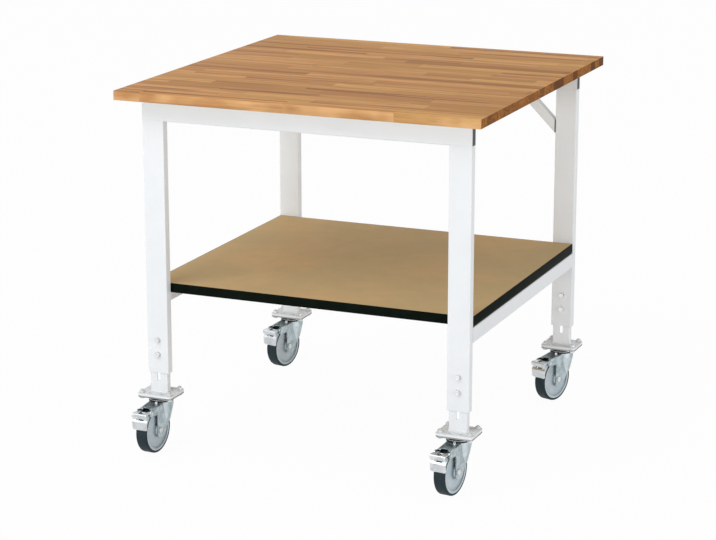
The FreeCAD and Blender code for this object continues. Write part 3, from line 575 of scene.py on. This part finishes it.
def thread(mesh, place, radius, length, pitch):
    """A threaded shank as rings of crests and roots, with a chamfered tip at length."""
    depth = pitch * THREAD_DEPTH
    root = radius - depth
    rise, crest, fall = (pitch * share for share in THREAD_TURN)
    tip_start, tip_end = (radius - depth * share for share in THREAD_TIP)
    profile = [(0.0, root)]
    for index in range(max(1, int((length - pitch) / pitch))):
        level = index * pitch
        profile += [(level + rise, root), (level + crest, radius)]
        profile += [(level + fall, radius), (level + pitch, root)]
    profile += [(length - depth, tip_start), (length, tip_end)]
    cap_ends(mesh, lathe(mesh, profile, place, ROUND_STEPS))


def aim(start, direction):
    """A matrix whose Z axis runs from start along direction."""
    turn = Vector(direction).normalized().to_track_quat("Z", "Y").to_matrix().to_4x4()
    return Matrix.Translation(start) @ turn


def hexagon(flats, height, both):
    """The chamfer's radius, and what puts a lathe's ON_HEXAGON rings on a hexagon's sides."""
    chamfer = flats / 2 * HEX_CHAMFER

    def reshape(angle, level, radius):
        if radius != ON_HEXAGON:
            return level, radius
        from_middle = (angle + ANGLE_NUDGE) % (math.pi / 3) - math.pi / 6
        reach = flats / 2 / math.cos(from_middle)
        drop = (reach - chamfer) * HEX_SLOPE
        if level > height / 2:
            return level - drop, reach
        return level + drop * both, reach

    return chamfer, reshape


def hex_head(mesh, place, flats, height, washer=0.0):
    """A bolt's head, dished and chamfered at +height, and on a washer face if it has one."""
    chamfer, reshape = hexagon(flats, height, both=False)
    dish = chamfer * DISH_WIDTH
    profile = [(0.0, ON_HEXAGON)]
    if washer:
        profile = [(0.0, washer), (WASHER_FACE, washer), (WASHER_FACE, ON_HEXAGON)]
    profile += [(height, ON_HEXAGON), (height, chamfer), (height, dish)]
    profile += [(height - DISH_DEPTH, dish * DISH_FLOOR)]
    cap_ends(mesh, lathe(mesh, profile, place, HEX_STEPS, reshape))


def hex_nut(mesh, place, flats, height, bore):
    """A nut with chamfered corners at both ends and a countersunk bore at +height."""
    chamfer, reshape = hexagon(flats, height, both=True)
    profile = [(0.0, chamfer), (0.0, ON_HEXAGON), (height, ON_HEXAGON), (height, chamfer)]
    profile += [(height, bore * SINK_WIDTH), (height - SINK_DEPTH, bore), (0.0, bore)]
    rings = lathe(mesh, profile, place, HEX_STEPS, reshape)
    join_rings(mesh, rings[-1], rings[0])


# ------------------------------------------------------------------ worktop

FIRST_STAVE_CUT = (0.02, 0.3)
STAVE_LENGTH = (0.22, 0.52)
USUAL_TONES = (0.0, 0.68)
DARK_TONES = (0.7, 0.95)
DARK_SHARE = 0.14
FRONT_ROW_TONE = 0.3
END_MARGIN = 0.02
WORKTOP_ROUND = 0.0015
ON_EDGE = 1e-6


def draw_staves():
    """Every row's staves, from the front, as (start, stop, tone, seed)."""
    rows = []
    for row in range(STAVE_ROWS):
        ends = [worktop_low.x - draw.uniform(*FIRST_STAVE_CUT)]
        while ends[-1] < worktop_high.x:
            ends.append(ends[-1] + draw.uniform(*STAVE_LENGTH))
        staves = []
        for start, stop in zip(ends, ends[1:]):
            tone = draw.uniform(*USUAL_TONES)
            if draw.random() < DARK_SHARE:
                tone = draw.uniform(*DARK_TONES)
            seed = draw.random()
            last = stop > worktop_high.x
            if row == 0:
                tone = 0.0 if last else tone * FRONT_ROW_TONE
            if row == STAVE_ROWS - 1 and last:
                seed = 1.0
            staves.append((start, stop, tone, seed))
        rows.append(staves)
    return rows


def row_faces(mesh, row):
    """The faces of a row of staves, with the worktop's edge where the row lies along it."""
    low = worktop_low.y + row * STAVE_WIDTH
    middles = [(face, face.calc_center_median().y) for face in mesh.faces]
    faces = [face for face, y in middles if low < y < low + STAVE_WIDTH]
    for edge_row, edge in ((0, worktop_low.y), (STAVE_ROWS - 1, worktop_high.y)):
        if row == edge_row:
            faces += [face for face, y in middles if abs(y - edge) < ON_EDGE]
    return faces


def worktop_piece():
    """The glued worktop: 25 rows of staves, each row with its own butt joints."""
    mesh = box_mesh(worktop_low, worktop_high)
    for row in range(1, STAVE_ROWS):
        y = worktop_low.y + row * STAVE_WIDTH
        geometry = mesh.verts[:] + mesh.edges[:] + mesh.faces[:]
        bmesh.ops.bisect_plane(mesh, geom=geometry, plane_co=(0, y, 0), plane_no=(0, 1, 0))
    rows = draw_staves()
    for row, staves in enumerate(rows):
        stops = [stop for start, stop, tone, seed in staves[:-1]]
        for x in stops:
            if not worktop_low.x + END_MARGIN < x < worktop_high.x - END_MARGIN:
                continue
            faces = row_faces(mesh, row)
            geometry = set(faces)
            for face in faces:
                geometry.update(face.edges, face.verts)
            geometry = list(geometry)
            bmesh.ops.bisect_plane(mesh, geom=geometry, plane_co=(x, 0, 0), plane_no=(1, 0, 0))
    bevel(mesh, sharp_edges(mesh), WORKTOP_ROUND)
    layer = mesh.loops.layers.float_color.new("stave")
    for face in mesh.faces:
        centre = face.calc_center_median()
        row = int((centre.y - worktop_low.y) / STAVE_WIDTH)
        for start, stop, tone, seed in rows[min(STAVE_ROWS - 1, max(0, row))]:
            if start <= centre.x <= stop:
                break
        for loop in face.loops:
            loop[layer] = (tone, seed, loop.vert.co.x - start, stop - start)
    mesh_piece("worktop_staves", mesh, "beech", "table", "worktop")


worktop_piece()


# ------------------------------------------------------------------ shelf

EDGING_ROUND = 0.0009


def rectangle(low, high):
    """The four corners of a box, seen from above."""
    return [(low.x, low.y), (high.x, low.y), (high.x, high.y), (low.x, high.y)]


def shelf_edging_piece():
    """The black edging glued round the shelf board, with softly rounded arrises."""
    low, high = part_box("shelf_edging")
    outer, inner = rectangle(low, high), rectangle(*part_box("shelf_board"))
    mesh = bmesh.new()
    rings = []
    for points, z in ((outer, low.z), (outer, high.z), (inner, high.z), (inner, low.z)):
        rings.append([mesh.verts.new((x, y, z)) for x, y in points])
    for ring, other in zip(rings, rings[1:] + rings[:1]):
        join_rings(mesh, ring, other)
    outside = set(rings[0] + rings[1])
    bevel(mesh, [edge for edge in mesh.edges if outside.issuperset(edge.verts)], EDGING_ROUND)
    mesh_piece("shelf_edge_band", mesh, "black_edging", "table", "shelf_edging")


shelf_edging_piece()


# ------------------------------------------------------------------ bolts

BOLT_LEVELS = (0.260, 0.300)
BOLT_FLATS = 0.013
BOLT_RADIUS = 0.004
BOLT_HEAD_HEIGHT = 0.0053
BOLT_PITCH = 0.00125
WASHER_THICKNESS = 0.0016
WASHER_RADIUS = 0.0059
CLAMP_BOLT_LENGTH = 0.018


def height_bolts_piece():
    """The bolts that clamp each inner leg, with a washer face under each head."""
    mesh = bmesh.new()
    for corner in CORNERS:
        low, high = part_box("outer_leg_" + corner)
        for z in BOLT_LEVELS:
            seat = Vector(((low.x + high.x) / 2, low.y - WASHER_THICKNESS, z))
            outward, inward = aim(seat, (0, -1, 0)), aim(seat, (0, 1, 0))
            hex_head(mesh, outward, BOLT_FLATS, BOLT_HEAD_HEIGHT, WASHER_RADIUS)
            thread(mesh, inward, BOLT_RADIUS, CLAMP_BOLT_LENGTH, BOLT_PITCH)
    mesh_piece("clamp_bolts", mesh, "bolt_zinc", "table", "height_bolts")


height_bolts_piece()


# ------------------------------------------------------------------ castors
# Sections are (radius, height) points, and CHEEK is (forward, height), from the swivel axis.

BOLT_SPACING = (0.040, 0.030)
BOLT_SHANK = 0.0039
NUT_HEIGHT = 0.0065
BOLT_END = 0.003
FORK_HALF = 0.022
FORK_SHEET = 0.003
AXLE_RADIUS = 0.005
AXLE_FLATS = 0.014
AXLE_HEAD_HEIGHT = 0.004
AXLE_NUT_HEIGHT = 0.006
AXLE_END = 0.002
AXLE_PITCH = 0.0015
SLEEVE_RADIUS = 0.0075
SLEEVE_STEPS = 48
SEAL_STEPS = 96
CHEEK_INSIDE = 0.0168
CHEEK_OUTSIDE = 0.0183
CHEEK_ROUND = 0.0004
CHEEK = [
    (-0.0890, 0.1215),
    (-0.1137, 0.1222),
    (-0.1137, 0.1152),
    (-0.1069, 0.1076),
    (-0.1111, 0.1001),
    (-0.1093, 0.0802),
    (-0.1075, 0.0790),
    (-0.1035, 0.0880),
    (-0.0975, 0.0990),
    (-0.0905, 0.1080),
    (-0.0880, 0.1150),
]
DUST_CAP_SHADE = [
    (0.03305, 0.1396),
    (0.0337, 0.1396),
    (0.0337, 0.1431),
    (0.0329, 0.1441),
    (0.02405, 0.1456),
    (0.02405, 0.1431),
    (0.03305, 0.1431),
]
LOWER_SEAL_SHADE = [(0.02605, 0.13305), (0.0316, 0.13305), (0.0309, 0.1371), (0.02605, 0.1371)]
LOWER_LIP = [
    (0.02605, 0.1371),
    (0.0322, 0.1371),
    (0.0324, 0.1377),
    (0.0322, 0.1384),
    (0.02605, 0.1384),
]
# the black dust cap and lower seal stand partly for rubber seals and partly for painted shade
# round the swivel bearing
SEALS = (
    ("dust_cap_shade", "strip_rubber", "leg", DUST_CAP_SHADE),
    ("lower_seal_shade", "strip_rubber", "castor", LOWER_SEAL_SHADE),
    ("lower_lip", "pedal_zinc", "castor", LOWER_LIP),
)


def castor_place(corner):
    """A castor's own frame: x along the axle, y forward of the swivel axis and z up."""
    across = Vector(joints["roll_" + corner]["axis"])
    up = Vector((0.0, 0.0, 1.0))
    turn = Matrix((across, up.cross(across), up)).transposed().to_4x4()
    return Matrix.Translation(joints["swivel_" + corner]["pos_m"]) @ turn


def castor_fasteners(corner):
    """The four bolts that hold the castor's plate under the foot plate."""
    mesh = bmesh.new()
    centre = Vector(joints["swivel_" + corner]["pos_m"])
    plate_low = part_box("castor_bolts_" + corner)[0].z + BOLT_HEAD_HEIGHT
    foot_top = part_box("foot_plate_" + corner)[1].z
    clamped = foot_top - plate_low
    for side_x in (-1, 1):
        for side_y in (-1, 1):
            spot = centre + Vector((side_x * BOLT_SPACING[0], side_y * BOLT_SPACING[1], 0.0))
            turned = Matrix.Rotation(draw.uniform(0.0, 1.0), 4, "Z")
            top = Matrix.Translation(spot + Vector((0.0, 0.0, foot_top))) @ turned
            under = aim(spot + Vector((0.0, 0.0, plate_low)), (0, 0, -1)) @ turned
            hex_nut(mesh, top, BOLT_FLATS, NUT_HEIGHT, BOLT_RADIUS)
            thread(mesh, top, BOLT_RADIUS, NUT_HEIGHT + BOLT_END, BOLT_PITCH)
            shank(mesh, under @ Matrix.Translation((0, 0, -clamped)), BOLT_SHANK, clamped)
            hex_head(mesh, under, BOLT_FLATS, BOLT_HEAD_HEIGHT)
    name = "castor_fasteners_" + corner
    mesh_piece(name, mesh, "bolt_zinc", "leg_" + corner, "castor_bolts_" + corner)


def axle_set(corner):
    """The axle bolt with its nut, and the sleeve that the wheel turns on."""
    mesh = bmesh.new()
    place = castor_place(corner)
    hub = place.inverted() @ Vector(joints["roll_" + corner]["pos_m"])
    reach = Vector((FORK_HALF, 0.0, 0.0))
    right = place @ aim(hub + reach, (1, 0, 0))
    left = place @ aim(hub - reach, (-1, 0, 0))
    hex_head(mesh, right, AXLE_FLATS, AXLE_HEAD_HEIGHT)
    hex_nut(mesh, left, AXLE_FLATS, AXLE_NUT_HEIGHT, AXLE_RADIUS)
    thread(mesh, left, AXLE_RADIUS, AXLE_NUT_HEIGHT + AXLE_END, AXLE_PITCH)
    across = 2 * FORK_HALF
    shank(mesh, right @ Matrix.Translation((0, 0, -across)), AXLE_RADIUS, across)
    half = FORK_HALF - FORK_SHEET
    section = [(AXLE_RADIUS, -half), (SLEEVE_RADIUS, -half)]
    section += [(SLEEVE_RADIUS, half), (AXLE_RADIUS, half)]
    closed_ring(mesh, section, place @ aim(hub, (1, 0, 0)), SLEEVE_STEPS)
    mesh_piece("axle_set_" + corner, mesh, "bolt_zinc", "castor_" + corner, "axle_" + corner)


def pedal_cheeks(corner):
    """The flanges that stiffen a brake pedal, one on each side of the tyre."""
    place = castor_place(corner)
    mesh = bmesh.new()
    for side in (-1, 1):
        outlines = []
        for x in (side * CHEEK_INSIDE, side * CHEEK_OUTSIDE):
            outlines.append([mesh.verts.new(place @ Vector((x, y, z))) for y, z in CHEEK])
        cap_ends(mesh, outlines)
        join_rings(mesh, *outlines)
    bevel(mesh, sharp_edges(mesh), CHEEK_ROUND, segments=2)
    mesh_piece("pedal_cheeks_" + corner, mesh, "fork_zinc", "pedal_" + corner)


def swivel_seals(corner):
    """The dust cap over the upper race, and the seal and lip of the lower one; the near-black
    cap and seal are partly real rubber, partly a painted shade where the bearing lies in shadow.
    """
    place = Matrix.Translation(joints["swivel_" + corner]["pos_m"])
    for name, slot_name, body, section in SEALS:
        mesh = bmesh.new()
        closed_ring(mesh, section, place, SEAL_STEPS)
        mesh_piece(name + "_" + corner, mesh, slot_name, body + "_" + corner)


for corner in CORNERS:
    castor_fasteners(corner)
    axle_set(corner)
    pedal_cheeks(corner)
    swivel_seals(corner)


# ------------------------------------------------------------------ welds

WELD_RADIUS = 0.0018
WELD_LIFT = 0.0005
WELD_STEP = 0.0006
WELD_INSET = WELD_RADIUS * 0.4
WELD_TIP = WELD_RADIUS * 0.5
RIPPLE_LENGTH = 0.0024
RIPPLE_HEIGHT = 0.1
RIPPLE_NOISE = 0.05
WELD_STEPS = 14
TUBE_CORNER = 0.003
BRACE_WIDTH = 0.025


def weld(mesh, start, stop):
    """A rippled bead of weld from start to stop, sunk halfway into the joint."""
    run = Vector(stop) - Vector(start)
    count = max(2, int(run.length / WELD_STEP))
    profile = [(0.0, WELD_TIP)]
    for index in range(count + 1):
        along = WELD_INSET + index / count * (run.length - 2 * WELD_INSET)
        ripple = math.sin(along / RIPPLE_LENGTH * 2 * math.pi) * RIPPLE_HEIGHT
        ripple += draw.uniform(-RIPPLE_NOISE, RIPPLE_NOISE)
        profile.append((along, WELD_RADIUS * (1 + ripple)))
    profile.append((run.length, WELD_TIP))
    cap_ends(mesh, lathe(mesh, profile, aim(start, run), WELD_STEPS))


def weld_path(mesh, points):
    """Beads of weld from point to point."""
    for start, stop in zip(points, points[1:]):
        weld(mesh, start, stop)


def leg_welds(corner):
    """The weld round the front and the sides of an inner leg on its foot plate."""
    low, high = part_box("inner_leg_" + corner)
    z = low.z + WELD_LIFT
    near, far = low.y + WELD_RADIUS, high.y - WELD_RADIUS
    points = [(low.x, far, z), (low.x, near, z)]
    points += [(low.x + WELD_RADIUS, low.y, z), (high.x - WELD_RADIUS, low.y, z)]
    points += [(high.x, near, z), (high.x, far, z)]
    mesh = bmesh.new()
    weld_path(mesh, points)
    mesh_piece("foot_weld_" + corner, mesh, "frame_paint", "leg_" + corner)


def side_rail_welds(mesh, side, name):
    """The welds of a side rail on the two legs between which it runs."""
    low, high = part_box("side_rail_" + name)
    inner, outer = (high.x, low.x) if side < 0 else (low.x, high.x)
    for y in (low.y + WELD_LIFT, high.y - WELD_LIFT):
        points = [(outer - side * TUBE_CORNER, y, low.z), (inner + side * TUBE_CORNER, y, low.z)]
        points += [(inner, y, low.z + TUBE_CORNER), (inner, y, high.z - TUBE_CORNER)]
        weld_path(mesh, points)


def brace_weld(mesh, side, name):
    """The weld round the top of a brace under the rear rail."""
    low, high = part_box("brace_" + name)
    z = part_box("rear_top_rail")[0].z - WELD_LIFT
    near, far = low.y + WELD_RADIUS, high.y - WELD_RADIUS
    inner = high.x if side < 0 else low.x
    outer = inner + side * BRACE_WIDTH * math.sqrt(2.0)
    points = [(inner, far, z), (inner, near, z), (inner + side * WELD_RADIUS, low.y, z)]
    weld_path(mesh, points + [(outer, low.y, z), (outer, far, z)])


def frame_welds():
    """The welds of the side rails on the legs and of the braces on the rear rail."""
    mesh = bmesh.new()
    for side, name in ((-1, "left"), (1, "right")):
        side_rail_welds(mesh, side, name)
        brace_weld(mesh, side, name)
    mesh_piece("frame_welds", mesh, "frame_paint", "table")


for corner in CORNERS:
    leg_welds(corner)
frame_welds()


# ------------------------------------------------------------------ stage, light and camera

FLOOR_SIZE = 60.0
FLOOR_GLOW = 0.96
WORLD_LIGHT = 0.65
LAMPS_AIM = Vector((0.0, 0.0, 0.5))
LAMPS = (
    ("key_light", (-2.8, -14.5, 1.0), 5.0, 2.0, 570.0),
    ("top_light", (-2.0, -3.8, 4.6), 3.0, 3.0, 90.0),
    ("side_light", (14.0, -2.0, 1.3), 5.0, 2.4, 490.0),
)
PHOTO_WIDTH = 716.0
FOCAL_PIXELS = 2282.9
SENSOR_WIDTH = 36.0
CAMERA_PLACE = (2.3145, -5.5661, 2.0182)
CAMERA_AZIMUTH = math.radians(22.85)
CAMERA_ELEVATION = math.radians(14.76)
CAMERA_REACH = 200.0


def background_rays(tree):
    """1 for the rays that show the background: the camera's, mirrored and glass rays."""
    rays = tree.nodes.new("ShaderNodeLightPath").outputs
    seen = rays["Is Camera Ray"]
    for name in ("Is Glossy Ray", "Is Transmission Ray"):
        either = tree.nodes.new("ShaderNodeMath")
        either.operation = "MAXIMUM"
        tree.links.new(seen, either.inputs[0])
        tree.links.new(rays[name], either.inputs[1])
        seen = either.outputs[0]
    return seen


def studio_floor():
    """A pale floor that takes shadows and otherwise looks nearly white."""
    mesh = bmesh.new()
    bmesh.ops.create_grid(mesh, x_segments=2, y_segments=2, size=FLOOR_SIZE)
    data = bpy.data.meshes.new("studio_floor")
    mesh.to_mesh(data)
    mesh.free()
    floor = bpy.data.objects.new("studio_floor", data)
    bpy.context.scene.collection.objects.link(floor)
    f = Finish("studio_floor", specular=0.2)
    tone = f.noise(1.5, 2.0)
    colour = f.mix(tone, (0.84, 0.84, 0.84), (0.86, 0.86, 0.86))
    f.finish(colour, 0.8, f.bump(tone, 0.0001, 0.1))
    glow = f.node("ShaderNodeEmission", {"Color": (1.0, 1.0, 1.0), "Strength": 1.0})
    share = f.math("MULTIPLY", background_rays(f.tree), FLOOR_GLOW)
    shaders = {0: share, 1: f.shader.outputs[0], 2: glow.outputs[0]}
    both = f.node("ShaderNodeMixShader", shaders)
    f.put(f.tree.nodes["Material Output"].inputs["Surface"], both.outputs[0])
    data.materials.append(f.material)


def studio_world():
    """An even white surround, which lights the table less strongly than it shows."""
    world = bpy.data.worlds.new("studio")
    bpy.context.scene.world = world
    world.use_nodes = True
    tree = world.node_tree
    background = tree.nodes["Background"]
    background.inputs["Color"].default_value = (1.0, 1.0, 1.0, 1.0)
    strength = tree.nodes.new("ShaderNodeMix")
    strength.data_type = "FLOAT"
    strength.inputs[2].default_value = WORLD_LIGHT
    strength.inputs[3].default_value = 1.0
    tree.links.new(background_rays(tree), strength.inputs[0])
    tree.links.new(strength.outputs[0], background.inputs["Strength"])


def lamps():
    """Three soft rectangular lamps, aimed at the middle of the table."""
    for name, place, width, height, power in LAMPS:
        lamp = bpy.data.lights.new(name, "AREA")
        lamp.shape = "RECTANGLE"
        lamp.size = width
        lamp.size_y = height
        lamp.energy = power
        holder = bpy.data.objects.new(name, lamp)
        bpy.context.scene.collection.objects.link(holder)
        holder.location = place
        holder.rotation_mode = "QUATERNION"
        holder.rotation_quaternion = (Vector(place) - LAMPS_AIM).to_track_quat("Z", "Y")


def camera():
    """The photograph's viewpoint, 2.0 m above the floor, with no shift."""
    data = bpy.data.cameras.new("camera")
    data.sensor_width = SENSOR_WIDTH
    data.lens = FOCAL_PIXELS * SENSOR_WIDTH / PHOTO_WIDTH
    data.clip_end = CAMERA_REACH
    holder = bpy.data.objects.new("camera", data)
    bpy.context.scene.collection.objects.link(holder)
    holder.location = CAMERA_PLACE
    level = math.cos(CAMERA_ELEVATION)
    forward = Vector(
        (
            -math.sin(CAMERA_AZIMUTH) * level,
            math.cos(CAMERA_AZIMUTH) * level,
            -math.sin(CAMERA_ELEVATION),
        )
    )
    holder.rotation_mode = "QUATERNION"
    holder.rotation_quaternion = forward.to_track_quat("-Z", "Y")
    bpy.context.scene.camera = holder


studio_floor()
studio_world()
lamps()
camera()
bpy.context.scene.view_settings.view_transform = "Standard"
